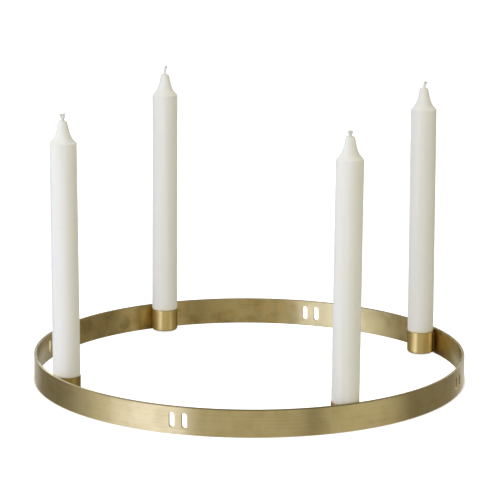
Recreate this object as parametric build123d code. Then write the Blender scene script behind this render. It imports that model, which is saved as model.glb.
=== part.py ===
from build123d import *
import os

# Driving dimensions, in millimetres and degrees

# Rolled brass band, a strip bent on edge into a hoop that stands on its lower edge
band_outer_diameter = 380.0
band_thickness = 2.6
band_height = 23.5
band_edge_radius = 0.3

# Ribbon slots, cut in pairs half way between the cups, so that the hoop can also be hung
ribbon_slot_width = 5.0
ribbon_slot_length = 13.0
ribbon_slot_spacing = 11.0

# Dipped candles, each a little shorter than the longest, in the order of the cups
# The foot is pared down to go into a cup, so that the body is about flush with the cup's wall
candle_base_diameter = 23.5
candle_taper = 0.2
candle_body_length = 224.8
candle_foot_step = 0.55
candle_foot_rounding = 0.3
candle_rim_gap = 0.3
candle_shortfalls = (0.0, 1.5, 2.4, 0.0)
candle_tip_length = 18.4
candle_crown_diameter = 7.8
candle_tip_hollow = 2.1
candle_base_relief = 0.4
candle_shoulder_rounding = 0.8
candle_crown_rounding = 0.8

# Cotton wicks, cast in over the candle's whole length
wick_diameter = 2.6
wick_stub_length = 6.5
wick_tip_rounding = 0.5

# Drawn brass cups, soldered to the inside of the band
cup_first_angle = 45.0
cup_wall = 0.5
cup_floor = 0.8
cup_corner_radius = 2.2
cup_edge_inset = 1.65
cup_candle_clearance = 0.2

# Solder seams, which fill the narrow wedge between each cup and a shallow flat milled into the band
solder_film = 0.2
solder_width = 7.0
solder_flat_depth = 0.1

# How far cutting shapes run past the faces that they cut
cut_overrun = 5.0

# Sizes that follow from the driving dimensions
band_outer_radius = band_outer_diameter / 2
band_inner_radius = band_outer_radius - band_thickness
cup_count = len(candle_shortfalls)
cup_angle_step = 360.0 / cup_count
candle_foot_radius = candle_base_diameter / 2 - candle_foot_step
cup_bore_radius = candle_foot_radius + cup_candle_clearance
cup_outer_radius = cup_bore_radius + cup_wall
cup_inner_corner_radius = cup_corner_radius - cup_wall
candle_base_rounding = cup_inner_corner_radius + candle_base_relief
cup_height = band_height - 2 * cup_edge_inset
cup_axis_radius = band_inner_radius + solder_flat_depth - solder_film - cup_outer_radius
solder_height = cup_height - 2 * cup_corner_radius
solder_base = cup_edge_inset + cup_corner_radius
candle_seat = cup_edge_inset + cup_floor
candle_foot_length = cup_height - cup_floor + candle_rim_gap

STANDING = (Align.CENTER, Align.CENTER, Align.MIN)
STANDING_OUTWARD = (Align.MIN, Align.CENTER, Align.MIN)


def cup_angle(index):
    return cup_first_angle + index * cup_angle_step


def at_cup(index, height):
    """The place on a cup's axis at this height, with X pointing out to the band."""
    return Rot(0, 0, cup_angle(index)) * Pos(cup_axis_radius, 0, height)


def bottom_edge(solid):
    return solid.edges().filter_by(GeomType.CIRCLE).sort_by(Axis.Z)[0]


def top_edge(solid):
    return solid.edges().filter_by(GeomType.CIRCLE).sort_by(Axis.Z)[-1]


def ribbon_slot_cutter(angle, side):
    """One upright slot of a pair, beside the pair's centre line, cut straight through the band."""
    outward = Vector(1, 0, 0).rotate(Axis.Z, angle)
    along_band = Vector(0, 1, 0).rotate(Axis.Z, angle)
    start = outward * (band_inner_radius - cut_overrun) + Vector(0, 0, band_height / 2)
    wall = Plane(origin=start, x_dir=along_band, z_dir=outward)
    outline = SlotOverall(ribbon_slot_length, ribbon_slot_width, rotation=90)
    placed = wall * Pos(side * ribbon_slot_spacing / 2, 0) * outline
    return extrude(placed, band_thickness + 2 * cut_overrun)


def solder_block():
    """The space from a cup's axis out to the flat that its solder seam sits on."""
    reach = cup_outer_radius + solder_film
    return Box(reach, solder_width, solder_height, align=STANDING_OUTWARD)


def make_band():
    hoop = Cylinder(band_outer_radius, band_height, align=STANDING)
    inside = Cylinder(band_inner_radius, band_height + 2 * cut_overrun, align=STANDING)
    hoop -= Pos(0, 0, -cut_overrun) * inside
    hoop = fillet(hoop.edges().filter_by(GeomType.CIRCLE), band_edge_radius)
    for index in range(cup_count):
        hoop -= at_cup(index, solder_base) * solder_block()
        middle_angle = cup_angle(index) + cup_angle_step / 2
        for side in (-1, 1):
            hoop -= ribbon_slot_cutter(middle_angle, side)
    return hoop


def make_cup():
    """A round cup standing on its own floor."""
    shell = Cylinder(cup_outer_radius, cup_height, align=STANDING)
    shell = fillet(bottom_edge(shell), cup_corner_radius)
    bore = Cylinder(cup_bore_radius, cup_height, align=STANDING)
    bore = fillet(bottom_edge(bore), cup_inner_corner_radius)
    return shell - Pos(0, 0, cup_floor) * bore


def make_solder_seam():
    """The filler between a cup's straight wall and the band, as wide as the flat."""
    return solder_block() - Cylinder(cup_outer_radius, solder_height, align=STANDING)


def make_wick(body_length):
    wick_length = body_length + candle_tip_length + wick_stub_length
    wick = Cylinder(wick_diameter / 2, wick_length, align=STANDING)
    return fillet(top_edge(wick), wick_tip_rounding)


def make_candle(body_length):
    """A straight candle with a pared foot and a hollow-sided tip, turned about its wick."""
    candle_length = body_length + candle_tip_length
    base = (candle_foot_radius, 0)
    foot_top = (candle_foot_radius, candle_foot_length)
    body_base = (candle_base_diameter / 2, candle_foot_length)
    shoulder = ((candle_base_diameter - candle_taper) / 2, body_length)
    crown = (candle_crown_diameter / 2, candle_length)
    lower_outline = Polyline((0, 0), base, foot_top, body_base, shoulder)
    tip_outline = SagittaArc(shoulder, crown, candle_tip_hollow)
    upper_outline = Polyline(crown, (0, candle_length), (0, 0))
    profile = make_face([lower_outline, tip_outline, upper_outline])
    roundings = (
        (base, candle_base_rounding),
        (body_base, candle_foot_rounding),
        (shoulder, candle_shoulder_rounding),
        (crown, candle_crown_rounding),
    )
    for corner, radius in roundings:
        nearest = profile.vertices().sort_by_distance(Vector(*corner))[0]
        profile = fillet(nearest, radius)
    wax = revolve(Plane.XZ * profile, Axis.Z)
    wick_bore = Cylinder(wick_diameter / 2, candle_length + 2 * cut_overrun, align=STANDING)
    return wax - Pos(0, 0, -cut_overrun) * wick_bore


os.makedirs("parts", exist_ok=True)

export_step(make_band(), "parts/ring_band.step")

cup = make_cup()
solder_seam = make_solder_seam()
for index, shortfall in enumerate(candle_shortfalls):
    number = index + 1
    body_length = candle_body_length - shortfall
    pieces = {
        "candle_cup": at_cup(index, cup_edge_inset) * cup,
        "solder_seam": at_cup(index, solder_base) * solder_seam,
        "candle": at_cup(index, candle_seat) * make_candle(body_length),
        "wick": at_cup(index, candle_seat) * make_wick(body_length),
    }
    for name, piece in pieces.items():
        export_step(piece, f"parts/{name}_{number}.step")
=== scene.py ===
import math

import bmesh
import bpy
from mathutils import Matrix, Vector, geometry, noise


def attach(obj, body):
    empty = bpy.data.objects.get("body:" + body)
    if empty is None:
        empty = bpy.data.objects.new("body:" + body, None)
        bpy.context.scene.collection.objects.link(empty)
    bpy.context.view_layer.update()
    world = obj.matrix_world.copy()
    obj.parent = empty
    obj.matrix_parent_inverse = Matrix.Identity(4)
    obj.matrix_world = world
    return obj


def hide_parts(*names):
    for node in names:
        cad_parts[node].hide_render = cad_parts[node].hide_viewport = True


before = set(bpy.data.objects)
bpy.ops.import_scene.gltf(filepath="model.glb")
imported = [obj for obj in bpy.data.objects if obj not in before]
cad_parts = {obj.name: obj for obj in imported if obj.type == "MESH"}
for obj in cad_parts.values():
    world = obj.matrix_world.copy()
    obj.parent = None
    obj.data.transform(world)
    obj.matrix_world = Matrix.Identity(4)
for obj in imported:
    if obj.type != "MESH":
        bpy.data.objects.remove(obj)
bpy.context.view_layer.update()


# Rolled band: a flat brass strip bent into a hoop that stands on its lower edge, with its ends joined and
# ground flush. Pairs of ribbon slots are punched through it half way between the cups, every edge is broken,
# and the faces are brushed along the strip.

MM = 0.001
BAND_OUTER_RADIUS = 190.0 * MM
BAND_THICKNESS = 2.6 * MM
BAND_HEIGHT = 23.5 * MM
BAND_EDGE_RADIUS = 0.3 * MM
BAND_EDGE_STEPS = 4
BAND_STEPS = 720
BAND_UNEVENNESS = 0.07 * MM
BAND_WAVES_PER_METRE = 14.0
SLOT_WIDTH = 5.0 * MM
SLOT_LENGTH = 13.0 * MM
SLOT_SPACING = 11.0 * MM
SLOT_PAIRS = 4
SLOT_END_STEPS = 12
SLOT_END_ROUNDING = 0.4999
PUNCH_REACH = 3.0
SLOT_EDGE_BREAK = 0.18 * MM
EDGE_BREAK_SEGMENTS = 2
SHARPEST_KEPT = math.radians(50.0)


def place(tree, kind, inputs=None, **settings):
    """Adds one node, with its settings and with values or links on its inputs."""
    node = tree.nodes.new(kind)
    for name, value in settings.items():
        setattr(node, name, value)
    for key, value in (inputs or {}).items():
        if isinstance(value, bpy.types.NodeSocket):
            tree.links.new(value, node.inputs[key])
        else:
            node.inputs[key].default_value = value
    return node


def calc(tree, operation, *values):
    """One sum on numbers."""
    return place(tree, "ShaderNodeMath", dict(enumerate(values)), operation=operation).outputs[0]


def times(tree, first, *others):
    """Some numbers multiplied."""
    for other in others:
        first = calc(tree, "MULTIPLY", first, other)
    return first


def remainder(tree, share):
    """What a share leaves of one."""
    return calc(tree, "SUBTRACT", 1.0, share)


def fade(tree, value, start, end, low=0.0, high=1.0, **settings):
    """Runs from low to high while a value runs from start to end, and stays there."""
    limits = {0: value, 1: start, 2: end, 3: low, 4: high}
    return place(tree, "ShaderNodeMapRange", limits, **settings).outputs[0]


def vector_calc(tree, operation, *values):
    """One sum on vectors that gives a vector."""
    return place(tree, "ShaderNodeVectorMath", dict(enumerate(values)), operation=operation).outputs["Vector"]


def measure(tree, operation, *values):
    """One sum on vectors that gives a number, such as a length."""
    return place(tree, "ShaderNodeVectorMath", dict(enumerate(values)), operation=operation).outputs["Value"]


def scaled(tree, vector, factor):
    """A vector made longer or shorter."""
    resized = {0: vector, "Scale": factor}
    return place(tree, "ShaderNodeVectorMath", resized, operation="SCALE").outputs["Vector"]


def height_of(tree, vector):
    """A vector's upright part."""
    return place(tree, "ShaderNodeSeparateXYZ", {0: vector}).outputs["Z"]


def flattened(tree, vector):
    """A vector without its upright part."""
    return vector_calc(tree, "MULTIPLY", vector, (1.0, 1.0, 0.0))


def grain(tree, spot, scale, detail):
    """A cloudy pattern's value."""
    return place(tree, "ShaderNodeTexNoise", {"Vector": spot, "Scale": scale, "Detail": detail}).outputs[0]


def mix(tree, share, first, second, blend="MIX"):
    """A share of one colour laid over another."""
    colours = {"Factor": share, 6: first, 7: second}
    return place(tree, "ShaderNodeMix", colours, data_type="RGBA", blend_type=blend).outputs[2]


def new_tree(kind, name, inputs, outputs):
    """An empty node tree with named sockets."""
    tree = bpy.data.node_groups.new(name, kind)
    for in_out, sockets in (("INPUT", inputs), ("OUTPUT", outputs)):
        for label, socket_type in sockets.items():
            tree.interface.new_socket(label, in_out=in_out, socket_type="NodeSocket" + socket_type)
    given = tree.nodes.new("NodeGroupInput").outputs
    result = tree.nodes.new("NodeGroupOutput").inputs
    return tree, given, result


def new_material(name):
    """A material with an empty node tree."""
    material = bpy.data.materials.new(name)
    material.use_nodes = True
    material.node_tree.nodes.clear()
    return material, material.node_tree


def show(name, data):
    """Adds an object to the scene."""
    piece = bpy.data.objects.new(name, data)
    bpy.context.scene.collection.objects.link(piece)
    return piece


def settle(piece):
    """Turns a piece's modifiers into a plain mesh."""
    depsgraph = bpy.context.evaluated_depsgraph_get()
    mesh = bpy.data.meshes.new_from_object(piece.evaluated_get(depsgraph), depsgraph=depsgraph)
    old = piece.data
    if piece.type == "MESH":
        piece.modifiers.clear()
        piece.data = mesh
        bpy.data.meshes.remove(old)
        return piece
    name = piece.name
    bpy.data.objects.remove(piece)
    bpy.data.curves.remove(old)
    return show(name, mesh)


def grow(tree, name, sizes, start=None):
    """Runs a geometry tree with its named sizes, and keeps the result as a plain mesh."""
    piece = show(name, start or bpy.data.meshes.new(name))
    modifier = piece.modifiers.new(tree.name, "NODES")
    modifier.node_group = tree
    for socket in tree.interface.items_tree:
        if socket.in_out == "INPUT" and socket.name in sizes:
            modifier[socket.identifier] = sizes[socket.name]
    return settle(piece)


def brushed_lines_group():
    """Fine lines that run round an axis, with broader streaks among them."""
    tree, given, result = new_tree(
        "ShaderNodeTree",
        "brushed_lines",
        {"Vector": "Vector", "Radius": "Float", "Line Spacing": "Float", "Line Length": "Float"},
        {"Lines": "Float", "Streaks": "Float"},
    )
    spot = place(tree, "ShaderNodeSeparateXYZ", {0: given["Vector"]}).outputs
    angle = calc(tree, "ARCTAN2", spot["Y"], spot["X"])
    along = calc(tree, "DIVIDE", times(tree, angle, given["Radius"]), given["Line Length"])
    outward = measure(tree, "LENGTH", flattened(tree, given["Vector"]))
    for label, coarseness, detail in (("Lines", 1.0, 3.0), ("Streaks", 3.0, 2.0)):
        spacing = times(tree, given["Line Spacing"], coarseness)
        across = calc(tree, "DIVIDE", spot["Z"], spacing)
        depth = calc(tree, "DIVIDE", outward, spacing)
        length = calc(tree, "DIVIDE", along, math.sqrt(coarseness))
        stretched = place(tree, "ShaderNodeCombineXYZ", {0: length, 1: across, 2: depth}).outputs[0]
        tree.links.new(grain(tree, stretched, 1.0, detail), result[label])
    return tree


FLUSHES_PER_PATCH = 2.2
FLUSH_SHIFT = (0.3, 0.5, 0.7)


def tarnish_group():
    """Cloudy patches, a redder flush among them and a few small spots, as on handled brass."""
    tree, given, result = new_tree(
        "ShaderNodeTree",
        "tarnish",
        {"Vector": "Vector", "Patch Size": "Float", "Spot Size": "Float"},
        {"Patches": "Float", "Flush": "Float", "Spots": "Float"},
    )
    per_patch = calc(tree, "DIVIDE", 1.0, given["Patch Size"])
    per_flush = times(tree, per_patch, FLUSHES_PER_PATCH)
    per_spot = calc(tree, "DIVIDE", 1.0, given["Spot Size"])
    aside = vector_calc(tree, "ADD", given["Vector"], FLUSH_SHIFT)
    marks = (
        ("Patches", given["Vector"], per_patch, 4.0, (0.42, 0.66)),
        ("Flush", aside, per_flush, 3.0, (0.48, 0.64)),
        ("Spots", given["Vector"], per_spot, 1.0, (0.70, 0.78)),
    )
    for label, spot, scale, detail, limits in marks:
        tree.links.new(fade(tree, grain(tree, spot, scale, detail), *limits), result[label])
    return tree


LEVEL_FACE = (0.85, 0.97)
HOLE_WALL = (0.35, 0.85)
PALE_TOP_REACH = (0.96, 0.99)
GREYED_REACH = (0.40, 0.75)
GREYED_TO = 0.6
END_SHADE_REACH = (-0.965, -0.985)
END_SHADE = 0.32
EDGE_DARKNESS = 0.9
LEAST_EDGE_DARKNESS = 0.05
UPPER_ARRIS = (0.35, 1.0)
LOWER_ARRIS = (0.8, 0.0)
ARRIS_REACH = (1.0, 2.0)
ARRIS_TURN = (-0.3, 0.3)
RUBS_PER_METRE = 180.0
LEAST_RUB = 0.5
BRIGHT_LINE_SHARE = 0.3


def edge_wear_and_shade_group():
    """Marks on an upright wall, most of them painted light. The shade output is painted shade on the flat
    faces and arrises: dark, lighter on two sides, darker at the end of one, and hardly dark at the pale top.
    The highlight output is that pale top, a painted reflection, and a broken bright line just inside the
    edges, partly edge abrasion and partly a painted highlight. Punched is the walls of the holes."""
    tree, given, result = new_tree(
        "ShaderNodeTree",
        "edge_wear_and_shade",
        {
            "Vector": "Vector",
            "Normal": "Vector",
            "Lower Edge": "Float",
            "Upper Edge": "Float",
            "Wear Width": "Float",
            "Edge Break": "Float",
            "Pale Top Toward": "Vector",
            "Greyed Across": "Vector",
        },
        {"Wear And Highlight": "Float", "Edge Shade": "Float", "Punched": "Float"},
    )
    height = height_of(tree, given["Vector"])
    from_lower = calc(tree, "SUBTRACT", height, given["Lower Edge"])
    from_upper = calc(tree, "SUBTRACT", given["Upper Edge"], height)
    distance = calc(tree, "MINIMUM", from_lower, from_upper)
    outward = vector_calc(tree, "NORMALIZE", flattened(tree, given["Vector"]))
    facing = measure(tree, "DOT_PRODUCT", given["Normal"], outward)
    level = fade(tree, calc(tree, "ABSOLUTE", height_of(tree, given["Normal"])), *LEVEL_FACE)

    # Towards one side the top face is pale, a painted reflection, and the painted edge shade is lifted there.
    # Elsewhere the painted edge shade is lighter on two sides and darker at one end.
    held = measure(tree, "DOT_PRODUCT", outward, given["Pale Top Toward"])
    pale = fade(tree, held, *PALE_TOP_REACH)
    sideways = measure(tree, "DOT_PRODUCT", outward, given["Greyed Across"])
    greyed = fade(tree, calc(tree, "ABSOLUTE", sideways), *GREYED_REACH, 1.0, GREYED_TO)
    end_shade = fade(tree, sideways, *END_SHADE_REACH, 0.0, END_SHADE)
    away_from_pale_top = times(tree, calc(tree, "ADD", greyed, end_shade), remainder(tree, pale))
    darkness = calc(tree, "MULTIPLY_ADD", away_from_pale_top, EDGE_DARKNESS, LEAST_EDGE_DARKNESS)

    arrises = []
    for gap, (inside, outside) in ((from_upper, UPPER_ARRIS), (from_lower, LOWER_ARRIS)):
        near = fade(tree, calc(tree, "DIVIDE", gap, given["Edge Break"]), *ARRIS_REACH, 1.0, 0.0)
        arrises.append(times(tree, near, fade(tree, facing, *ARRIS_TURN, inside, outside)))
    broken = times(tree, calc(tree, "MAXIMUM", *arrises), remainder(tree, level), darkness)
    # Painted shade: the flat faces and the arrises are darkened, the lower arris on the inside only.
    cut = calc(tree, "MAXIMUM", times(tree, level, darkness), broken)
    tree.links.new(cut, result["Edge Shade"])

    # Partly abrasion, partly painted light: a broken bright line inside the edges, and the pale top face,
    # which is a painted reflection.
    patchy = calc(tree, "ADD", grain(tree, given["Vector"], RUBS_PER_METRE, 3.0), LEAST_RUB)
    reach = times(tree, given["Wear Width"], patchy)
    bright_line = remainder(tree, calc(tree, "DIVIDE", distance, reach))
    bright_line = place(tree, "ShaderNodeClamp", {0: bright_line}).outputs[0]
    wear_and_highlight = calc(tree, "MAXIMUM", times(tree, level, pale), times(tree, bright_line, BRIGHT_LINE_SHARE))
    tree.links.new(times(tree, wear_and_highlight, remainder(tree, cut)), result["Wear And Highlight"])

    hole_wall = fade(tree, calc(tree, "ABSOLUTE", facing), *HOLE_WALL, 1.0, 0.0)
    inset = fade(tree, distance, given["Edge Break"], given["Wear Width"])
    tree.links.new(times(tree, hole_wall, inset), result["Punched"])
    return tree


BRUSHED_LINES = brushed_lines_group()
TARNISH = tarnish_group()
EDGE_WEAR_AND_SHADE = edge_wear_and_shade_group()

BRASS_FLUSH = (0.76, 0.56, 0.27, 1.0)
# The colour of a painted highlight inside.
BRASS_PAINTED_HIGHLIGHT = (0.90, 0.80, 0.50, 1.0)
# The colour of a painted reflection of the floor.
BRASS_FLOOR_REFLECTION = (0.98, 0.94, 0.78, 1.0)
# A pale colour for the painted highlight and reflection on the edges, partly abrasion, and a dark one for the
# painted edge shade.
BRASS_HIGHLIGHT_AND_WEAR = (0.93, 0.80, 0.51, 1.0)
BRASS_EDGE_SHADE = (0.16, 0.118, 0.052, 1.0)
BRASS_FRESH_CUT = (0.82, 0.64, 0.28, 1.0)
# The colour multiplied in as painted shade inside.
INNER_SHADE = (0.83, 0.79, 0.68, 1.0)
# The side where the top face is painted pale, as a reflection.
PALE_TOP_TOWARD = (-0.643, -0.766, 0.0)
GREYED_ACROSS = (0.951, 0.308, 0.0)
INNER_SHADE_TOWARD = (-0.766, 0.643, 0.0)
INNER_SHADE_REACH = (0.35, 0.9)
PAINTED_HIGHLIGHT_TOWARD = (0.174, 0.985, 0.0)
PAINTED_HIGHLIGHT_REACH = (0.925, 0.975)
PAINTED_HIGHLIGHT_SHARE = 0.8
FLOOR_REFLECTION_REACH = (0.93, 0.97)
FLOOR_REFLECTION_SHARE = 0.95
FLOOR_REFLECTION_BELOW = 0.75
FLOOR_REFLECTION_FULL_BELOW = 0.4
LINE_SPACING = 0.30 * MM
LINE_LENGTH = 45.0 * MM
LINE_STRENGTH = 0.14
LINE_DEPTH = 0.03 * MM
STREAK_RELIEF = 0.6
STREAK_LIMITS = (0.3, 0.7)
STREAK_PALENESS = -0.15
STREAK_ROUGHNESS = 0.03
ACROSS_THE_LINES = 0.25
PATCH_SIZE = 14.0 * MM
PATCH_SHARE = 0.26
PATCH_SHARE_ADDED_INSIDE = 0.42
FLUSH_SHARE = 0.10
FLUSH_SHARE_ADDED_INSIDE = 0.50
SPOT_SIZE = 2.4 * MM
SPOT_SHARE = 0.35
TARNISH_ROUGHNESS = 0.25
FLOOR_REFLECTION_ROUGHNESS = 0.5
PUNCHED_ROUGHNESS = 0.25
PUNCHED_SHARE = 0.5
WEAR_WIDTH = 1.0 * MM
MARKED_EDGE = BAND_EDGE_RADIUS * 1.2


def brushed_brass(
    name, axis, radius, wall, lower, upper, seam_angle, body_colour, tarnish_colour,
    roughness, anisotropy, streakiness, wear_and_highlight_share, edge_shade_share, edge_tint,
):
    """Brass brushed round an upright axis, with tarnish in patches, painted edge shade and painted
    highlights.
    The inside is more tarnished, with a painted highlight, a painted reflection of the floor low at both
    ends, and painted shade. The pattern's seam is turned to seam_angle."""
    material, tree = new_material(name)
    surface = place(tree, "ShaderNodeTexCoord").outputs
    to_axis = {"Vector": surface["Object"], "Location": (-axis[0], -axis[1], 0.0)}
    centred = place(tree, "ShaderNodeMapping", to_axis).outputs[0]
    turned_back = {"Vector": centred, "Rotation": (0.0, 0.0, -seam_angle)}
    spot = place(tree, "ShaderNodeMapping", turned_back).outputs[0]

    lines = {"Vector": spot, "Radius": radius, "Line Spacing": LINE_SPACING, "Line Length": LINE_LENGTH}
    lines = place(tree, "ShaderNodeGroup", lines, node_tree=BRUSHED_LINES).outputs
    tarnish = {"Vector": spot, "Patch Size": PATCH_SIZE, "Spot Size": SPOT_SIZE}
    tarnish = place(tree, "ShaderNodeGroup", tarnish, node_tree=TARNISH).outputs
    wear_and_shade = {
        "Vector": centred,
        "Normal": surface["Normal"],
        "Lower Edge": lower,
        "Upper Edge": upper,
        "Wear Width": WEAR_WIDTH,
        "Edge Break": MARKED_EDGE,
        "Pale Top Toward": PALE_TOP_TOWARD,
        "Greyed Across": GREYED_ACROSS,
    }
    wear_and_shade = place(tree, "ShaderNodeGroup", wear_and_shade, node_tree=EDGE_WEAR_AND_SHADE).outputs

    def toward(direction):
        """How far a spot lies towards one side, from -1 to 1."""
        return calc(tree, "DIVIDE", measure(tree, "DOT_PRODUCT", centred, direction), radius)

    middle = radius - wall / 2.0
    outward = measure(tree, "LENGTH", flattened(tree, spot))
    inner = fade(tree, outward, middle - wall / 4.0, middle, 1.0, 0.0)
    patchiness = calc(tree, "MULTIPLY_ADD", inner, PATCH_SHARE_ADDED_INSIDE, PATCH_SHARE)
    dulled = times(tree, tarnish["Patches"], patchiness)
    darkened = calc(tree, "MAXIMUM", dulled, times(tree, tarnish["Spots"], SPOT_SHARE))
    streaked = fade(tree, lines["Streaks"], *STREAK_LIMITS, STREAK_PALENESS, streakiness)
    aged = place(tree, "ShaderNodeClamp", {0: calc(tree, "ADD", darkened, streaked)}).outputs[0]
    redness = calc(tree, "MULTIPLY_ADD", inner, FLUSH_SHARE_ADDED_INSIDE, FLUSH_SHARE)
    flushed = times(tree, tarnish["Flush"], redness)
    # Painted highlight: a narrow stretch of the inside towards the back is paled where a bright panel's
    # reflection would fall.
    painted_highlight = times(tree, inner, fade(tree, toward(PAINTED_HIGHLIGHT_TOWARD), *PAINTED_HIGHLIGHT_REACH, 0.0, PAINTED_HIGHLIGHT_SHARE))
    # Painted reflection of the pale floor: the lower inside at both ends is paled and made rougher.
    sideways = calc(tree, "ABSOLUTE", toward(GREYED_ACROSS))
    at_ends = fade(tree, sideways, *FLOOR_REFLECTION_REACH, 0.0, FLOOR_REFLECTION_SHARE)
    reflection_below = lower + FLOOR_REFLECTION_BELOW * (upper - lower)
    full_reflection_below = lower + FLOOR_REFLECTION_FULL_BELOW * (upper - lower)
    painted_floor_reflection = times(tree, inner, at_ends, fade(tree, height_of(tree, spot), reflection_below, full_reflection_below))
    # Painted shade: the inside darkens towards the back left.
    painted_inner_shade = times(tree, inner, fade(tree, toward(INNER_SHADE_TOWARD), *INNER_SHADE_REACH))
    punched = times(tree, wear_and_shade["Punched"], PUNCHED_SHARE)

    colour = mix(tree, aged, body_colour, tarnish_colour)
    colour = mix(tree, flushed, colour, BRASS_FLUSH)
    colour = mix(tree, painted_highlight, colour, BRASS_PAINTED_HIGHLIGHT)
    colour = mix(tree, painted_floor_reflection, colour, BRASS_FLOOR_REFLECTION)
    colour = mix(tree, painted_inner_shade, colour, INNER_SHADE, "MULTIPLY")
    # Painted light on the edges: the pale top's painted reflection and the bright line, partly abrasion and
    # partly painted highlight, then the painted edge shade.
    colour = mix(tree, times(tree, wear_and_shade["Wear And Highlight"], wear_and_highlight_share), colour, BRASS_HIGHLIGHT_AND_WEAR)
    colour = mix(tree, times(tree, wear_and_shade["Edge Shade"], edge_shade_share), colour, BRASS_EDGE_SHADE)
    colour = mix(tree, punched, colour, BRASS_FRESH_CUT)

    streak_rough = fade(tree, lines["Streaks"], *STREAK_LIMITS, 0.0, STREAK_ROUGHNESS)
    rough = calc(tree, "ADD", streak_rough, roughness)
    rises = ((darkened, TARNISH_ROUGHNESS), (painted_floor_reflection, FLOOR_REFLECTION_ROUGHNESS), (punched, PUNCHED_ROUGHNESS))
    for share, rise in rises:
        rough = calc(tree, "ADD", rough, times(tree, share, rise))

    relief = calc(tree, "ADD", lines["Lines"], times(tree, lines["Streaks"], STREAK_RELIEF))
    brushed = {"Height": relief, "Strength": LINE_STRENGTH, "Distance": LINE_DEPTH}
    metal = place(
        tree,
        "ShaderNodeBsdfPrincipled",
        {
            "Base Color": colour,
            "Roughness": rough,
            "Normal": place(tree, "ShaderNodeBump", brushed).outputs[0],
            "Tangent": place(tree, "ShaderNodeTangent", direction_type="RADIAL", axis="Z").outputs[0],
            "Metallic": 1.0,
            "Anisotropic": anisotropy,
            "Anisotropic Rotation": ACROSS_THE_LINES,
            "Specular Tint": edge_tint,
        },
    )
    place(tree, "ShaderNodeOutputMaterial", {"Surface": metal.outputs[0]})
    return material


def rolled_band_tree():
    """A rounded strip swept round a circle, with pairs of upright slots cut through it."""
    tree, given, result = new_tree(
        "GeometryNodeTree",
        "rolled_band",
        {
            "Outer Radius": "Float",
            "Thickness": "Float",
            "Height": "Float",
            "Edge Radius": "Float",
            "Steps Round": "Int",
            "Unevenness": "Float",
            "Slot Width": "Float",
            "Slot Length": "Float",
            "Slot Spacing": "Float",
            "Slot Pairs": "Int",
            "Finish": "Material",
        },
        {"Geometry": "Geometry"},
    )

    def upright(width, height, corner_radius, corner_steps):
        """An upright oblong with rounded corners."""
        oblong = {"Width": width, "Height": height}
        oblong = place(tree, "GeometryNodeCurvePrimitiveQuadrilateral", oblong).outputs[0]
        corners = {"Curve": oblong, "Count": corner_steps, "Radius": corner_radius}
        return place(tree, "GeometryNodeFilletCurve", corners, mode="POLY").outputs[0]

    def moved(shape, **shift):
        """A shape moved along X, Y or Z."""
        shift = place(tree, "ShaderNodeCombineXYZ", shift).outputs[0]
        return place(tree, "GeometryNodeTransform", {"Geometry": shape, "Translation": shift}).outputs[0]

    middle = calc(tree, "SUBTRACT", given["Outer Radius"], times(tree, given["Thickness"], 0.5))
    half_height = times(tree, given["Height"], 0.5)
    circle = {"Resolution": given["Steps Round"], "Radius": middle}
    circle = place(tree, "GeometryNodeCurvePrimitiveCircle", circle).outputs[0]
    strip = upright(given["Thickness"], given["Height"], given["Edge Radius"], BAND_EDGE_STEPS)
    swept = place(tree, "GeometryNodeCurveToMesh", {"Curve": circle, "Profile Curve": strip}).outputs[0]
    hoop = moved(swept, Z=half_height)

    spot = place(tree, "GeometryNodeInputPosition").outputs[0]
    outward = vector_calc(tree, "NORMALIZE", flattened(tree, spot))
    wave = calc(tree, "SUBTRACT", grain(tree, spot, BAND_WAVES_PER_METRE, 1.0), 0.5)
    swing = times(tree, wave, given["Unevenness"], 2.0)
    uneven = {"Geometry": hoop, "Offset": scaled(tree, outward, swing)}
    uneven = place(tree, "GeometryNodeSetPosition", uneven).outputs[0]

    reach = times(tree, given["Thickness"], PUNCH_REACH)
    ends = {}
    for label, operation in (("Start", "SUBTRACT"), ("End", "ADD")):
        end = {"X": calc(tree, operation, middle, reach), "Z": half_height}
        ends[label] = place(tree, "ShaderNodeCombineXYZ", end).outputs[0]
    through = place(tree, "GeometryNodeCurvePrimitiveLine", ends).outputs[0]
    nearly_half_round = times(tree, given["Slot Width"], SLOT_END_ROUNDING)
    slot = upright(given["Slot Width"], given["Slot Length"], nearly_half_round, SLOT_END_STEPS)
    punch = {"Curve": through, "Profile Curve": slot, "Fill Caps": True}
    punch = place(tree, "GeometryNodeCurveToMesh", punch).outputs[0]
    pair = place(tree, "GeometryNodeJoinGeometry")
    for side in (-0.5, 0.5):
        tree.links.new(moved(punch, Y=times(tree, given["Slot Spacing"], side)), pair.inputs[0])
    stations = place(tree, "GeometryNodePoints", {"Count": given["Slot Pairs"]}).outputs[0]
    index = place(tree, "GeometryNodeInputIndex").outputs[0]
    turn = times(tree, index, calc(tree, "DIVIDE", 2.0 * math.pi, given["Slot Pairs"]))
    turn = place(tree, "ShaderNodeCombineXYZ", {"Z": turn}).outputs[0]
    punches = {"Points": stations, "Instance": pair.outputs[0], "Rotation": turn}
    punches = place(tree, "GeometryNodeInstanceOnPoints", punches).outputs[0]
    punches = place(tree, "GeometryNodeRealizeInstances", {0: punches}).outputs[0]
    cut = {"Mesh 1": uneven, "Mesh 2": punches}
    slotted = place(tree, "GeometryNodeMeshBoolean", cut, operation="DIFFERENCE", solver="EXACT")
    whole = place(tree, "GeometryNodeRealizeInstances", {0: slotted.outputs[0]}).outputs[0]
    finished = place(tree, "GeometryNodeSetMaterial", {"Geometry": whole, "Material": given["Finish"]})
    tree.links.new(finished.outputs[0], result["Geometry"])
    return tree


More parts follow.
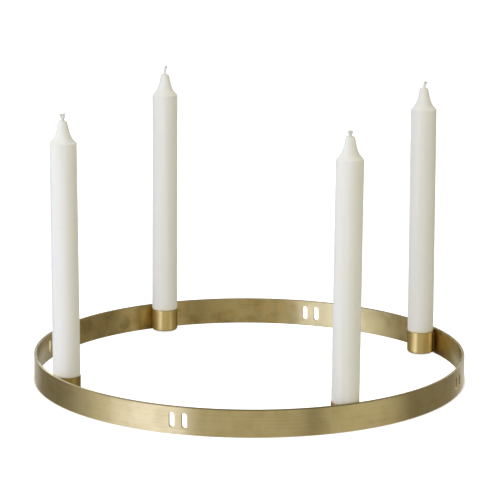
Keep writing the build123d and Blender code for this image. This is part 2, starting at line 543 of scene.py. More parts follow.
def break_edges(piece, width):
    """Breaks a piece's sharp edges and shades its faces flat up to them."""
    bevel = piece.modifiers.new("edge_break", "BEVEL")
    bevel.width = width
    bevel.segments = EDGE_BREAK_SEGMENTS
    bevel.limit_method = "ANGLE"
    bevel.angle_limit = SHARPEST_KEPT
    bevel.use_clamp_overlap = True
    settle(piece)
    piece.data.shade_smooth()
    weights = piece.modifiers.new("flat_faces", "WEIGHTED_NORMAL")
    weights.keep_sharp = True
    settle(piece)


BRASS_COLOUR = (0.695, 0.592, 0.346, 1.0)
BRASS_TARNISH = (0.46, 0.36, 0.15, 1.0)
PATTERN_SEAM = math.radians(20.0)
BAND_FINISH = {
    "roughness": 0.29,
    "anisotropy": 0.96,
    "streakiness": 0.15,
    # Shares of painted light: the pale top and bright edge line, then the painted edge shade.
    "wear_and_highlight_share": 0.85,
    "edge_shade_share": 0.92,
    "edge_tint": (1.0, 1.0, 1.0, 1.0),
}

band_brass = brushed_brass(
    "band_brass",
    axis=(0.0, 0.0),
    radius=BAND_OUTER_RADIUS,
    wall=BAND_THICKNESS,
    lower=0.0,
    upper=BAND_HEIGHT,
    seam_angle=PATTERN_SEAM,
    body_colour=BRASS_COLOUR,
    tarnish_colour=BRASS_TARNISH,
    **BAND_FINISH,
)
band = grow(
    rolled_band_tree(),
    "rolled_band",
    {
        "Outer Radius": BAND_OUTER_RADIUS,
        "Thickness": BAND_THICKNESS,
        "Height": BAND_HEIGHT,
        "Edge Radius": BAND_EDGE_RADIUS,
        "Steps Round": BAND_STEPS,
        "Unevenness": BAND_UNEVENNESS,
        "Slot Width": SLOT_WIDTH,
        "Slot Length": SLOT_LENGTH,
        "Slot Spacing": SLOT_SPACING,
        "Slot Pairs": SLOT_PAIRS,
        "Finish": band_brass,
    },
)
break_edges(band, SLOT_EDGE_BREAK)
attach(band, "holder")
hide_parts("ring_band")


# Candle cups: thin brass cups drawn from sheet, with a rounded floor corner and a softened lip.
# Each is soldered to the inside of the band, and their brass is a little yellower than the strip's.

CUP_AXIS_RADIUS = 175.4 * MM
CUP_ANGLES = (45.0, 135.0, 225.0, 315.0)
CUP_OUTER_RADIUS = 11.9 * MM
CUP_WALL = 0.5 * MM
CUP_FLOOR = 0.8 * MM
CUP_CORNER_RADIUS = 2.2 * MM
CUP_BOTTOM = 1.65 * MM
CUP_TOP = 21.85 * MM
CUP_STRAIGHT_FROM = CUP_BOTTOM + 4.0 * MM
CUP_STRAIGHT_TO = CUP_TOP - 2.0 * MM
CUP_STEPS = 128
CUP_COLOUR = (0.80, 0.64, 0.29, 1.0)
CUP_TARNISH_AND_SHADE = (0.40, 0.27, 0.09, 1.0)
# How far each cup is darkened towards the tarnish colour as a whole: painted shade, most on the third.
CUP_PAINTED_SHADE = (0.0, 0.0, 0.8, 0.2)
CUP_FINISH = {
    "roughness": 0.36,
    "anisotropy": 0.70,
    "streakiness": 0.04,
    # Shares of painted light: the pale top and bright edge line, then the painted edge shade.
    "wear_and_highlight_share": 0.6,
    "edge_shade_share": 0.55,
    "edge_tint": (0.25, 0.22, 0.16, 1.0),
}
ON_THE_AXIS = 0.001 * MM
SMOOTH_UP_TO = math.radians(40.0)


def arc(centre, radius, start, end, steps):
    """Points on an arc in a turned piece's outline, as radius and height."""
    points = []
    for step in range(steps + 1):
        angle = math.radians(start + (end - start) * step / steps)
        points.append((centre[0] + radius * math.cos(angle), centre[1] + radius * math.sin(angle)))
    return points


def turned(name, outline, steps, shape):
    """An outline from axis to axis, turned round the Z axis. shape then moves each point."""
    form = bmesh.new()
    rings = []
    for radius, height in outline:
        if radius < ON_THE_AXIS:
            rings.append([form.verts.new((0.0, 0.0, height))] * steps)
            continue
        ring = []
        for step in range(steps):
            angle = 2.0 * math.pi * step / steps
            ring.append(form.verts.new((radius * math.cos(angle), radius * math.sin(angle), height)))
        rings.append(ring)
    for lower, upper in zip(rings, rings[1:]):
        for step in range(steps):
            after = (step + 1) % steps
            corners = [lower[step], lower[after], upper[after], upper[step]]
            form.faces.new(list(dict.fromkeys(corners)))
    for vert in form.verts:
        vert.co = shape(vert.co)
    bmesh.ops.recalc_face_normals(form, faces=form.faces)
    mesh = bpy.data.meshes.new(name)
    form.to_mesh(mesh)
    form.free()
    mesh.shade_smooth()
    mesh.set_sharp_from_angle(angle=SMOOTH_UP_TO)
    return show(name, mesh)


def cup_axis(angle):
    """Where a cup's axis stands."""
    turn = math.radians(angle)
    return Vector((CUP_AXIS_RADIUS * math.cos(turn), CUP_AXIS_RADIUS * math.sin(turn), 0.0))


def cup_outline():
    """A drawn cup's section, from the middle of its underside to the middle of its floor."""
    inner_radius = CUP_OUTER_RADIUS - CUP_WALL
    inner_corner = CUP_CORNER_RADIUS - CUP_WALL
    lip = CUP_WALL / 2.0
    floor_top = CUP_BOTTOM + CUP_FLOOR
    corner = (CUP_OUTER_RADIUS - CUP_CORNER_RADIUS, CUP_BOTTOM + CUP_CORNER_RADIUS)
    outline = [(CUP_OUTER_RADIUS * share, CUP_BOTTOM) for share in (0.0, 0.5, 0.8)]
    outline += arc(corner, CUP_CORNER_RADIUS, -90, 0, 8)
    outline += [(CUP_OUTER_RADIUS, CUP_STRAIGHT_FROM), (CUP_OUTER_RADIUS, CUP_STRAIGHT_TO)]
    outline += arc((CUP_OUTER_RADIUS - lip, CUP_TOP - lip), lip, 0, 180, 8)
    outline += [(inner_radius, CUP_STRAIGHT_TO), (inner_radius, CUP_STRAIGHT_FROM)]
    outline += arc((inner_radius - inner_corner, floor_top + inner_corner), inner_corner, 0, -90, 6)
    outline += [(inner_radius * 0.5, floor_top), (0.0, floor_top)]
    return outline


for number, angle in enumerate(CUP_ANGLES, start=1):
    axis = cup_axis(angle)
    cup = turned(f"drawn_cup_{number}", cup_outline(), CUP_STEPS, lambda spot: spot + axis)
    # Painted shade: the cup's body colour is darkened by its share.
    painted_shade = CUP_PAINTED_SHADE[number - 1]
    skin = [body + (dull - body) * painted_shade for body, dull in zip(CUP_COLOUR, CUP_TARNISH_AND_SHADE)]
    cup_brass = brushed_brass(
        f"cup_brass_{number}",
        axis=axis,
        radius=CUP_OUTER_RADIUS,
        wall=CUP_WALL,
        lower=CUP_BOTTOM,
        upper=CUP_TOP,
        seam_angle=math.radians(angle),
        body_colour=skin,
        tarnish_colour=CUP_TARNISH_AND_SHADE,
        **CUP_FINISH,
    )
    cup.data.materials.append(cup_brass)
    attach(cup, "holder")
    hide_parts(f"candle_cup_{number}")


# Solder seams: brass-coloured hard solder, run into the narrow wedge between each cup and the band and then
# cleaned. The modelled solids show, with a brown-gold skin that is a little lumpy and stained in patches.

SOLDER_COLOUR = (0.68, 0.52, 0.25, 1.0)
SOLDER_STAIN = (0.40, 0.28, 0.11, 1.0)
SOLDER_PATCH_SIZE = 3.0 * MM
SOLDER_SPOT_SIZE = 0.8 * MM
SOLDER_LUMPS_PER_METRE = 700.0
SOLDER_LUMP_DEPTH = 0.2 * MM
SOLDER_ROUGHNESS = (0.30, 0.55)

solder_skin, tree = new_material("solder_skin")
spot = place(tree, "ShaderNodeTexCoord").outputs["Object"]
stains = {"Vector": spot, "Patch Size": SOLDER_PATCH_SIZE, "Spot Size": SOLDER_SPOT_SIZE}
stains = place(tree, "ShaderNodeGroup", stains, node_tree=TARNISH).outputs["Patches"]
lumps = grain(tree, spot, SOLDER_LUMPS_PER_METRE, 3.0)
lumpy = place(tree, "ShaderNodeBump", {"Height": lumps, "Strength": 0.5, "Distance": SOLDER_LUMP_DEPTH})
solder = place(
    tree,
    "ShaderNodeBsdfPrincipled",
    {
        "Base Color": mix(tree, stains, SOLDER_COLOUR, SOLDER_STAIN),
        "Roughness": fade(tree, lumps, 0.0, 1.0, *SOLDER_ROUGHNESS),
        "Normal": lumpy.outputs[0],
        "Metallic": 1.0,
    },
)
place(tree, "ShaderNodeOutputMaterial", {"Surface": solder.outputs[0]})
for number in range(1, len(CUP_ANGLES) + 1):
    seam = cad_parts[f"solder_seam_{number}"]
    seam.data.materials.clear()
    seam.data.materials.append(solder_skin)


# Candles: plain white candles of pressed wax, dipped for a smooth skin, that stand loose in the cups.
# The foot is pared down to go into the cup, the shoulder is crisp, and the hollow-sided tip ends in a soft
# crown. Each leans as far as its cup lets it. Near the foot the wax is tinted warm, a painted glow of
# light bounced from the brass.

CANDLE_SEAT = 2.45 * MM
CANDLE_FOOT_RADIUS = 11.2 * MM
CANDLE_FOOT_LENGTH = 19.7 * MM
CANDLE_FOOT_ROUNDING = 2.1 * MM
CANDLE_BASE_RADIUS = 11.75 * MM
CANDLE_SHOULDER_RADIUS = 11.65 * MM
CANDLE_BODY_LENGTHS = (224.8 * MM, 223.3 * MM, 222.4 * MM, 224.8 * MM)
CANDLE_LEANS = (-0.00454, 0.00232, -0.00655, 0.00558)
CANDLE_RINGS = 84
CANDLE_STEPS = 96
STEP_ROUNDING = 0.3 * MM
SHOULDER_ROUNDING = 0.8 * MM
TIP_LENGTH = 18.4 * MM
TIP_LOWER_BEND = (6.3 * MM, 3.4 * MM)
TIP_UPPER_BEND = (5.4 * MM, 10.8 * MM)
TIP_RINGS = 18
TIP_ASKEW = 0.10
CROWN_RADIUS = 3.9 * MM
CROWN_ROUNDING = 0.8 * MM
CROWN_DIMPLE = 0.8 * MM
DIMPLE_RIM = (CROWN_RADIUS * 0.42, CROWN_DIMPLE * 0.4)
BODY_SWELL = 0.006
TIP_SWELL = 0.03
SWELLS_PER_METRE = (60.0, 60.0, 18.0)
SWELL_OFFSET = 7.0
VIEW_TURN = math.radians(17.947)
VIEW_RIGHT = Vector((math.cos(VIEW_TURN), math.sin(VIEW_TURN), 0.0))
WAX_COLOUR = (0.92, 0.925, 0.90, 1.0)
WAX_CLOUD = (0.88, 0.885, 0.845, 1.0)
# A warm painted glow near the foot, standing for light bounced from the brass.
WAX_PAINTED_BOUNCE = (0.94, 0.89, 0.74, 1.0)
PAINTED_BOUNCE_FROM = 22.0 * MM
PAINTED_BOUNCE_TO = 27.0 * MM
PAINTED_BOUNCE_SHARE = 0.7
WAX_STRETCH = (1.0, 1.0, 0.03)
WAX_CLOUDS_PER_METRE = 170.0
WAX_CLOUD_LIMITS = (0.38, 0.64)
WAX_DIPS_PER_METRE = 140.0
WAX_PORES_PER_METRE = 900.0
WAX_PORE_SHARE = 0.25
WAX_DIP_DEPTH = 0.12 * MM
WAX_ROUGHNESS = (0.36, 0.52)
WAX_GLOW_DEPTH = 1.6 * MM
WAX_GLOW_COLOUR = (1.0, 0.85, 0.65)


def candle_outline(body_length):
    """A candle's outline from the middle of its base to the dimple round its wick."""
    outline = [(0.0, 0.0), (CANDLE_FOOT_RADIUS * 0.6, 0.0)]
    foot_corner = (CANDLE_FOOT_RADIUS - CANDLE_FOOT_ROUNDING, CANDLE_FOOT_ROUNDING)
    outline += arc(foot_corner, CANDLE_FOOT_ROUNDING, -90, 0, 6)
    outline += [(CANDLE_FOOT_RADIUS, CANDLE_FOOT_LENGTH * share) for share in (0.4, 0.7, 1.0)]
    step_corner = (CANDLE_BASE_RADIUS - STEP_ROUNDING, CANDLE_FOOT_LENGTH + STEP_ROUNDING)
    outline += arc(step_corner, STEP_ROUNDING, -90, 0, 4)
    base = step_corner[1]
    shoulder = body_length - SHOULDER_ROUNDING
    for ring in range(1, CANDLE_RINGS):
        share = ring / CANDLE_RINGS
        radius = CANDLE_BASE_RADIUS + (CANDLE_SHOULDER_RADIUS - CANDLE_BASE_RADIUS) * share
        outline.append((radius, base + (shoulder - base) * share))
    outline += arc((CANDLE_SHOULDER_RADIUS - SHOULDER_ROUNDING, shoulder), SHOULDER_ROUNDING, 0, 50, 4)
    crown_corner = (CROWN_RADIUS - CROWN_ROUNDING, body_length + TIP_LENGTH - CROWN_ROUNDING)
    hollow = geometry.interpolate_bezier(
        Vector(outline[-1]),
        Vector((TIP_LOWER_BEND[0], body_length + TIP_LOWER_BEND[1])),
        Vector((TIP_UPPER_BEND[0], body_length + TIP_UPPER_BEND[1])),
        Vector((CROWN_RADIUS, crown_corner[1])),
        TIP_RINGS,
    )
    outline += [tuple(point) for point in hollow[1:-1]]
    outline += arc(crown_corner, CROWN_ROUNDING, 0, 110, 7)
    dimple = body_length + TIP_LENGTH - CROWN_DIMPLE
    outline += [(DIMPLE_RIM[0], dimple + DIMPLE_RIM[1]), (0.0, dimple)]
    return outline


white_wax, tree = new_material("white_wax")
spot = place(tree, "ShaderNodeTexCoord").outputs["Object"]
stretched = place(tree, "ShaderNodeMapping", {"Vector": spot, "Scale": WAX_STRETCH}).outputs[0]
clouds = grain(tree, stretched, WAX_CLOUDS_PER_METRE, 3.0)
wax_colour = mix(tree, fade(tree, clouds, *WAX_CLOUD_LIMITS), WAX_COLOUR, WAX_CLOUD)
above_floor = height_of(tree, spot)
# Painted light: the wax is tinted warm near the foot, as if lit by light bounced from the brass.
painted_bounce = fade(tree, above_floor, PAINTED_BOUNCE_FROM, PAINTED_BOUNCE_TO, PAINTED_BOUNCE_SHARE, 0.0, interpolation_type="SMOOTHSTEP")
pores = grain(tree, spot, WAX_PORES_PER_METRE, 3.0)
dips = calc(tree, "ADD", grain(tree, stretched, WAX_DIPS_PER_METRE, 2.0), times(tree, pores, WAX_PORE_SHARE))
dipped = place(tree, "ShaderNodeBump", {"Height": dips, "Strength": 0.25, "Distance": WAX_DIP_DEPTH})
wax = place(
    tree,
    "ShaderNodeBsdfPrincipled",
    {
        "Base Color": mix(tree, painted_bounce, wax_colour, WAX_PAINTED_BOUNCE),
        "Roughness": fade(tree, clouds, 0.0, 1.0, *WAX_ROUGHNESS),
        "Normal": dipped.outputs[0],
        "Subsurface Weight": 0.5,
        "Subsurface Radius": WAX_GLOW_COLOUR,
        "Subsurface Scale": WAX_GLOW_DEPTH,
        "Specular IOR Level": 0.4,
    },
)
place(tree, "ShaderNodeOutputMaterial", {"Surface": wax.outputs[0]})

for number, angle in enumerate(CUP_ANGLES, start=1):
    body_length = CANDLE_BODY_LENGTHS[number - 1]
    lean = CANDLE_LEANS[number - 1]
    seat = cup_axis(angle) + Vector((0.0, 0.0, CANDLE_SEAT))

    def hand_made(spot):
        """Slight swells in the wax, a tip that sits a little askew, the lean, and the candle's place."""
        along, across, upward = SWELLS_PER_METRE
        swells = Vector((spot.x * along, spot.y * across, spot.z * upward + SWELL_OFFSET * number))
        tip = max(0.0, (spot.z - body_length) / TIP_LENGTH)
        swell = 1.0 + (BODY_SWELL + TIP_SWELL * min(tip, 1.0)) * noise.noise(swells)
        swollen = Vector((spot.x * swell, spot.y * swell, spot.z))
        swollen.z -= TIP_ASKEW * tip * swollen.dot(VIEW_RIGHT)
        return swollen + VIEW_RIGHT * (lean * spot.z) + seat

    candle = turned(f"dipped_candle_{number}", candle_outline(body_length), CANDLE_STEPS, hand_made)
    candle.data.materials.append(white_wax)
    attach(candle, f"advent_candle_{number}")
    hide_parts(f"candle_{number}")


# Wicks: braided cotton cast into each candle over its whole length, with a short stub above the wax.
# The stubs were cut by hand, so one is nearly straight, one leans, and two have frayed open into tufts.

WICK_STRANDS = 24
WICK_STRAND_RADIUS = 0.40 * MM
WICK_STRAND_SIDES = 6
WICK_LAY_RADIUS = 1.05 * MM
WICK_PITCH = 7.0 * MM
WICK_STEP = 0.5 * MM
WICK_WEAVES_PER_TURN = 4.0
WICK_WEAVE = 0.2
WICK_FRAY_DROP = -0.5
WICK_THINNING = 0.4
WICK_THINS_LATE = 4.0
WICK_IN_WAX = (0.0, 0.25, 0.5, 0.75, 0.97, 0.99)
WICK_STUBS = (
    {"points": ((0.2, 1.5), (0.9, 3.9), (1.6, 6.2)), "fray_from": 3.0, "fray_width": 0.9, "seed": 1},
    {"points": ((-0.1, 2.5), (0.2, 5.4), (1.0, 8.1)), "fray_from": 4.5, "fray_width": 0.3, "seed": 2},
    {"points": ((0.1, 1.5), (0.0, 4.2), (-0.4, 6.9)), "fray_from": 1.0, "fray_width": 2.4, "seed": 11},
    {"points": ((0.0, 1.0), (0.0, 2.8), (0.0, 5.0)), "fray_from": 0.6, "fray_width": 2.0, "seed": 4},
)
COTTON_COLOUR = (0.94, 0.94, 0.94, 1.0)
COTTON_SHADE = (0.84, 0.84, 0.83, 1.0)
COTTON_FIBRES_PER_METRE = 2600.0
COTTON_FLUFF = 0.1 * MM
COTTON_ROUGHNESS = (0.8, 0.98)


def braided_wick_tree():
    """Strands that wind both ways round a path, over and under each other, and end in a tuft."""
    tree, given, result = new_tree(
        "GeometryNodeTree",
        "braided_wick",
        {
            "Path": "Geometry",
            "Strands": "Int",
            "Strand Radius": "Float",
            "Lay Radius": "Float",
            "Pitch": "Float",
            "Step": "Float",
            "Fray From": "Float",
            "Fray Width": "Float",
            "Seed": "Int",
            "Finish": "Material",
        },
        {"Geometry": "Geometry"},
    )
    even = {"Curve": given["Path"], "Length": given["Step"]}
    even = place(tree, "GeometryNodeResampleCurve", even, mode="LENGTH").outputs[0]
    copies = {"Geometry": even, "Amount": given["Strands"]}
    copies = place(tree, "GeometryNodeDuplicateElements", copies, domain="SPLINE")
    strand = copies.outputs["Duplicate Index"]
    along = place(tree, "GeometryNodeSplineParameter").outputs["Length"]
    total = place(tree, "GeometryNodeSplineLength").outputs["Length"]

    side = remainder(tree, times(tree, calc(tree, "MODULO", strand, 2.0), 2.0))
    pairs = times(tree, given["Strands"], 0.5)
    first = calc(tree, "DIVIDE", calc(tree, "FLOOR", times(tree, strand, 0.5)), pairs)
    held = calc(tree, "MINIMUM", along, given["Fray From"])
    turns = calc(tree, "ADD", calc(tree, "DIVIDE", held, given["Pitch"]), first)
    turned_by = times(tree, turns, 2.0 * math.pi)
    angle = times(tree, turned_by, side)
    weave = calc(tree, "SINE", times(tree, turned_by, WICK_WEAVES_PER_TURN))
    weave = times(tree, weave, side, WICK_WEAVE)
    lay = times(tree, given["Lay Radius"], calc(tree, "ADD", 1.0, weave))

    past = calc(tree, "SUBTRACT", along, given["Fray From"])
    loose = calc(tree, "DIVIDE", past, calc(tree, "SUBTRACT", total, given["Fray From"]))
    loose = place(tree, "ShaderNodeClamp", {0: loose}).outputs[0]
    chance = {2: 0.0, 3: 1.0, "ID": strand, "Seed": given["Seed"]}
    chance = place(tree, "FunctionNodeRandomValue", chance, data_type="FLOAT").outputs[1]
    share = calc(tree, "SQRT", chance)
    tuft = times(tree, calc(tree, "ADD", given["Lay Radius"], given["Fray Width"]), share)
    reach = calc(tree, "ADD", lay, times(tree, calc(tree, "SUBTRACT", tuft, lay), loose))
    shorter = times(tree, times(tree, loose, given["Fray Width"]), times(tree, share, WICK_FRAY_DROP))

    normal = place(tree, "GeometryNodeInputNormal").outputs[0]
    tangent = place(tree, "GeometryNodeInputTangent").outputs[0]
    cross = vector_calc(tree, "CROSS_PRODUCT", tangent, normal)
    wound = scaled(tree, normal, times(tree, reach, calc(tree, "COSINE", angle)))
    wound_cross = scaled(tree, cross, times(tree, reach, calc(tree, "SINE", angle)))
    offset = vector_calc(tree, "ADD", wound, wound_cross)
    offset = vector_calc(tree, "ADD", offset, scaled(tree, tangent, shorter))
    braided = {"Geometry": copies.outputs[0], "Offset": offset}
    braided = place(tree, "GeometryNodeSetPosition", braided).outputs[0]

    yarn = {"Resolution": WICK_STRAND_SIDES, "Radius": given["Strand Radius"]}
    yarn = place(tree, "GeometryNodeCurvePrimitiveCircle", yarn).outputs[0]
    late = calc(tree, "POWER", loose, WICK_THINS_LATE)
    thinning = remainder(tree, times(tree, late, WICK_THINNING))
    solid = {"Curve": braided, "Profile Curve": yarn, "Scale": thinning, "Fill Caps": True}
    solid = place(tree, "GeometryNodeCurveToMesh", solid).outputs[0]
    smooth = place(tree, "GeometryNodeSetShadeSmooth", {"Geometry": solid}).outputs[0]
    whole = place(tree, "GeometryNodeRealizeInstances", {0: smooth}).outputs[0]
    finished = place(tree, "GeometryNodeSetMaterial", {"Geometry": whole, "Material": given["Finish"]})
    tree.links.new(finished.outputs[0], result["Geometry"])
    return tree


cotton, tree = new_material("cotton")
spot = place(tree, "ShaderNodeTexCoord").outputs["Object"]
fibres = grain(tree, spot, COTTON_FIBRES_PER_METRE, 4.0)
fluff = place(tree, "ShaderNodeBump", {"Height": fibres, "Strength": 0.6, "Distance": COTTON_FLUFF})
thread = place(
    tree,
    "ShaderNodeBsdfPrincipled",
    {
        "Base Color": mix(tree, fibres, COTTON_COLOUR, COTTON_SHADE),
        "Roughness": fade(tree, fibres, 0.0, 1.0, *COTTON_ROUGHNESS),
        "Normal": fluff.outputs[0],
        "Specular IOR Level": 0.2,
    },
)
place(tree, "ShaderNodeOutputMaterial", {"Surface": thread.outputs[0]})

wick_tree = braided_wick_tree()
for number, angle in enumerate(CUP_ANGLES, start=1):
    wax_top = CANDLE_BODY_LENGTHS[number - 1] + TIP_LENGTH
    stub = WICK_STUBS[number - 1]
    lean = CANDLE_LEANS[number - 1]
    seat = cup_axis(angle) + Vector((0.0, 0.0, CANDLE_SEAT))
    stations = [(0.0, share * wax_top) for share in WICK_IN_WAX]
    stations += [(aside * MM, wax_top + above * MM) for aside, above in stub["points"]]
    path = bpy.data.curves.new(f"braided_wick_{number}", "CURVE")
    path.dimensions = "3D"
    spline = path.splines.new("BEZIER")
    spline.bezier_points.add(len(stations) - 1)
    for point, (aside, height) in zip(spline.bezier_points, stations):
        point.co = seat + VIEW_RIGHT * (aside + lean * height) + Vector((0.0, 0.0, height))
        point.handle_left_type = "AUTO"
        point.handle_right_type = "AUTO"
    wick = grow(
        wick_tree,
        f"braided_wick_{number}",
        {
            "Strands": WICK_STRANDS,
            "Strand Radius": WICK_STRAND_RADIUS,
            "Lay Radius": WICK_LAY_RADIUS,
            "Pitch": WICK_PITCH,
            "Step": WICK_STEP,
            "Fray From": wax_top + stub["fray_from"] * MM,
            "Fray Width": stub["fray_width"] * MM,
            "Seed": stub["seed"],
            "Finish": cotton,
        },
        path,
    )
    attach(wick, f"advent_candle_{number}")
    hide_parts(f"wick_{number}")


# Studio: a plain pale floor, soft light panels that stand round it unseen by the camera, and one large
# panel overhead. The brightest panel reaches from the left to the front left and the others are weaker,
# so that the brass shows a few broad reflections. The floor carries a painted contact shadow round the
# band, and in reflections it shows a faint painted glow with painted shade under the cups. The camera
# looks on from the photograph's angle.

FLOOR_SIZE = 16.0
FLOOR_WHITE = (0.80, 0.80, 0.79, 1.0)
FLOOR_GLOW = (1.0, 1.0, 1.0, 1.0)
FLOOR_GLOW_NEAR = 0.86
FLOOR_NEAR = 0.25
FLOOR_FAR = 0.9
CONTACT_WIDTH = 2.6 * MM
CONTACT_GLOW = 0.3
# Under the cups the floor's reflected sheen and glow drop to this share: painted shade.
UNDER_CUP_GLOW = 0.3
UNDER_CUP_REACH = (CUP_OUTER_RADIUS * 0.6, CUP_OUTER_RADIUS * 1.1)
FLOOR_SHEEN = (0.55, 0.54, 0.52)
FLOOR_SHEEN_ROUGHNESS = 0.25
# A faint painted glow that the floor shows only in reflections.
FLOOR_SHADE = (0.95, 0.92, 0.85, 1.0)
FLOOR_SHADE_STRENGTH = 0.10

half = FLOOR_SIZE / 2.0
floor_corners = [(-half, -half, 0.0), (half, -half, 0.0), (half, half, 0.0), (-half, half, 0.0)]
floor_mesh = bpy.data.meshes.new("studio_floor")
floor_mesh.from_pydata(floor_corners, [], [(0, 1, 2, 3)])
floor = show("studio_floor", floor_mesh)

paper, tree = new_material("studio_paper")
light_path = place(tree, "ShaderNodeLightPath").outputs
spot = place(tree, "ShaderNodeTexCoord").outputs["Object"]
from_middle = measure(tree, "LENGTH", spot)
open_glow = fade(tree, from_middle, FLOOR_NEAR, FLOOR_FAR, FLOOR_GLOW_NEAR, 1.0)
# Painted contact shadow: the floor's glow is cut down within a few millimetres of the band's foot.
from_band = calc(tree, "ABSOLUTE", calc(tree, "SUBTRACT", from_middle, BAND_OUTER_RADIUS))
contact = fade(tree, from_band, 0.0, CONTACT_WIDTH, CONTACT_GLOW, 1.0)
glow = {"Color": FLOOR_GLOW, "Strength": times(tree, open_glow, contact)}
glow = place(tree, "ShaderNodeEmission", glow).outputs[0]
matt = place(tree, "ShaderNodeBsdfDiffuse", {"Color": FLOOR_WHITE}).outputs[0]
lit = place(tree, "ShaderNodeAddShader", {0: matt, 1: glow}).outputs[0]
seen = place(tree, "ShaderNodeMixShader", {0: light_path["Is Camera Ray"], 1: matt, 2: lit}).outputs[0]

# In reflections the floor shows a sheen and a faint painted glow, both cut down under the cups as painted
# shade.
one_quarter = vector_calc(tree, "ABSOLUTE", spot)
cup_middle = Vector((CUP_AXIS_RADIUS, CUP_AXIS_RADIUS, 0.0)) * math.sqrt(0.5)
from_cup = measure(tree, "DISTANCE", one_quarter, cup_middle)
open_floor = fade(tree, from_cup, *UNDER_CUP_REACH, UNDER_CUP_GLOW, 1.0)
sheen = {"Color": scaled(tree, FLOOR_SHEEN, open_floor), "Roughness": FLOOR_SHEEN_ROUGHNESS}
sheen = place(tree, "ShaderNodeBsdfGlossy", sheen).outputs[0]
shade = {"Color": FLOOR_SHADE, "Strength": times(tree, open_floor, FLOOR_SHADE_STRENGTH)}
shade = place(tree, "ShaderNodeEmission", shade).outputs[0]
mirrored = place(tree, "ShaderNodeAddShader", {0: sheen, 1: shade}).outputs[0]
look = place(tree, "ShaderNodeMixShader", {0: light_path["Is Glossy Ray"], 1: seen, 2: mirrored}).outputs[0]
place(tree, "ShaderNodeOutputMaterial", {"Surface": look})
floor_mesh.materials.append(paper)

SURROUND_RADIUS = 1.4
SURROUND_HEIGHT = 1.6
SURROUND_STEPS = 180
SURROUND_FOOT = 0.001
STANDING_PANELS = (
    {"span": (-115.0, -61.0, -32.0, -29.0), "strength": 1.17, "tint": (1.0, 1.01, 1.0)},
    {"span": (-77.0, -60.0, -32.0, -29.0), "strength": 0.68, "tint": (0.94, 1.09, 1.94)},
    {"span": (-30.0, -29.0, 22.0, 34.0), "strength": 0.55, "tint": (1.0, 0.97, 0.78)},
    {"span": (30.0, 44.0, 70.0, 92.0), "strength": 0.66, "tint": (1.0, 0.97, 0.78)},
    {"span": (84.0, 108.0, 135.0, 150.0), "strength": 0.06, "tint": (1.0, 0.85, 0.6)},
    {"span": (-176.0, -168.0, -158.0, -136.0), "strength": 1.13, "tint": (1.0, 1.10, 1.22)},
    {"span": (128.0, 154.0, 165.0, 174.0), "strength": 0.85, "tint": (1.0, 1.06, 1.16)},
)
PANEL_RISE = (-12.0, -2.0, 42.0, 52.0)
STUDIO_AIR = (0.225, 0.198, 0.128)
VIEW_AWAY = Vector((-math.sin(VIEW_TURN), math.cos(VIEW_TURN), 0.0))

form = bmesh.new()
rim = []
for step in range(SURROUND_STEPS):
    turn = 2.0 * math.pi * step / SURROUND_STEPS
    foot = Vector((SURROUND_RADIUS * math.cos(turn), SURROUND_RADIUS * math.sin(turn), SURROUND_FOOT))
    rim.append((form.verts.new(foot), form.verts.new(foot + Vector((0.0, 0.0, SURROUND_HEIGHT)))))
for (foot, head), (next_foot, next_head) in zip(rim, rim[1:] + rim[:1]):
    form.faces.new((foot, head, next_head, next_foot))
surround_mesh = bpy.data.meshes.new("studio_surround")
form.to_mesh(surround_mesh)
form.free()
surround = show("studio_surround", surround_mesh)
surround.visible_camera = False
surround.visible_shadow = False

panels, tree = new_material("studio_panels")
spot = place(tree, "ShaderNodeTexCoord").outputs["Object"]
to_right = measure(tree, "DOT_PRODUCT", spot, VIEW_RIGHT)
to_camera = measure(tree, "DOT_PRODUCT", spot, -VIEW_AWAY)
round_angle = calc(tree, "DEGREES", calc(tree, "ARCTAN2", to_right, to_camera))
rise = calc(tree, "DEGREES", calc(tree, "ARCTAN2", height_of(tree, spot), SURROUND_RADIUS))


def panel(value, start, full, end, gone):
    """1 between full and end, with soft borders."""
    entering = fade(tree, value, start, full, interpolation_type="SMOOTHSTEP")
    leaving = fade(tree, value, end, gone, interpolation_type="SMOOTHSTEP")
    return times(tree, entering, remainder(tree, leaving))


upright = panel(rise, *PANEL_RISE)
light = place(tree, "ShaderNodeCombineXYZ", dict(enumerate(STUDIO_AIR))).outputs[0]
for standing in STANDING_PANELS:
    mask = times(tree, panel(round_angle, *standing["span"]), upright)
    tint = [standing["strength"] * part for part in standing["tint"]]
    light = vector_calc(tree, "ADD", light, scaled(tree, tint, mask))
glow = place(tree, "ShaderNodeEmission", {"Color": light}).outputs[0]
place(tree, "ShaderNodeOutputMaterial", {"Surface": glow})
surround_mesh.materials.append(panels)

TOP_PANEL_SIZE = 2.2
TOP_PANEL_HEIGHT = 2.2
BACKDROP_WHITE = (0.95, 0.95, 0.94, 1.0)

top_panel = bpy.data.lights.new("top_panel", "AREA")
top_panel.shape = "SQUARE"
top_panel.size = TOP_PANEL_SIZE
top_panel.energy = math.pi * TOP_PANEL_SIZE ** 2
overhead = show("top_panel", top_panel)
overhead.location = (0.0, 0.0, TOP_PANEL_HEIGHT)

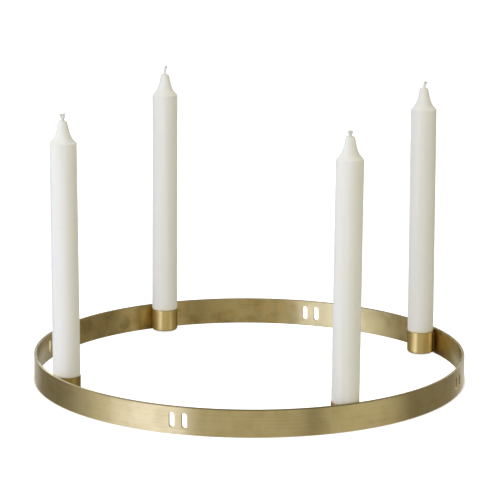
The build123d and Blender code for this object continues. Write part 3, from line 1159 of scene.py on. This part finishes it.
world = bpy.data.worlds.new("studio_air")
world.use_nodes = True
tree = world.node_tree
tree.nodes.clear()
air = place(tree, "ShaderNodeBackground", {"Color": (*STUDIO_AIR, 1.0)}).outputs[0]
backdrop = place(tree, "ShaderNodeBackground", {"Color": BACKDROP_WHITE}).outputs[0]
from_camera = place(tree, "ShaderNodeLightPath").outputs["Is Camera Ray"]
shown = place(tree, "ShaderNodeMixShader", {0: from_camera, 1: air, 2: backdrop}).outputs[0]
place(tree, "ShaderNodeOutputWorld", {"Surface": shown})
bpy.context.scene.world = world
bpy.context.scene.view_settings.view_transform = "Standard"

CAMERA_DISTANCE = 2.448571
CAMERA_RISE = math.radians(15.577)
CAMERA_PITCH = math.radians(12.95)
CAMERA_YAW = math.radians(-0.019)
CAMERA_ROLL = math.radians(0.322)
CAMERA_REACH = 60.0
SENSOR_WIDTH = 36.0
PHOTO_WIDTH_PIXELS = 498.0
FOCAL_LENGTH_PIXELS = 2757.635

level_ahead = VIEW_RIGHT * math.sin(CAMERA_YAW) + VIEW_AWAY * math.cos(CAMERA_YAW)
ahead = level_ahead * math.cos(CAMERA_PITCH) - Vector((0.0, 0.0, math.sin(CAMERA_PITCH)))
right = ahead.cross(Vector((0.0, 0.0, 1.0))).normalized()
up = right.cross(ahead)
rolled_right = right * math.cos(CAMERA_ROLL) + up * math.sin(CAMERA_ROLL)
rolled_up = up * math.cos(CAMERA_ROLL) - right * math.sin(CAMERA_ROLL)
stand = VIEW_AWAY * (-CAMERA_DISTANCE * math.cos(CAMERA_RISE))
stand.z = CAMERA_DISTANCE * math.sin(CAMERA_RISE)
lens = bpy.data.cameras.new("camera")
lens.sensor_width = SENSOR_WIDTH
lens.lens = SENSOR_WIDTH * FOCAL_LENGTH_PIXELS / PHOTO_WIDTH_PIXELS
lens.clip_end = CAMERA_REACH
camera = show("camera", lens)
turned_axes = Matrix((rolled_right, rolled_up, -ahead)).transposed()
camera.matrix_world = Matrix.Translation(stand) @ turned_axes.to_4x4()
bpy.context.scene.camera = camera
